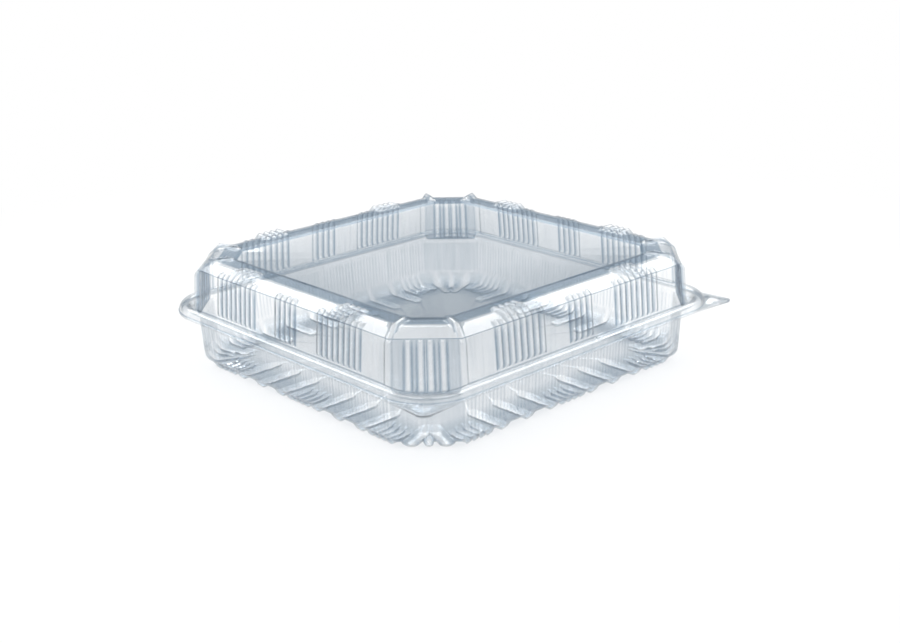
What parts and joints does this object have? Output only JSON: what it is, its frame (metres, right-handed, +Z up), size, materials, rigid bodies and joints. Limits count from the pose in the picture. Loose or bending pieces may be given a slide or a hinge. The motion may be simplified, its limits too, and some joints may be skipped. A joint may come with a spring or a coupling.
{
  "type": "hinged clear plastic clamshell pack",
  "caption": "Clear hinged food pack: a shallow ribbed tray and a domed lid with a sunk top panel, joined by a fold at the back of their flanged rims.",
  "frame": {"origin": "centre of the pack's plan, on the table that the tray's bars stand on", "axes": "+X along the hinge, +Y from the opening edge towards the hinge, +Z up"},
  "size_m": [0.2272, 0.2242, 0.0619],
  "materials": {
    "clear_tray": "clear gloss",
    "clear_lid": "clear gloss"
  },
  "bodies": {
    "tray": {"tray": "clear_tray"},
    "lid": {"lid": "clear_lid"}
  },
  "joints": [
    {"name": "lid_hinge", "type": "hinge", "parent": "tray", "child": "lid", "pos_m": [0, 0.11225, 0.0297], "axis": [-1, 0, 0], "range_deg": [0, 172]}
  ]
}
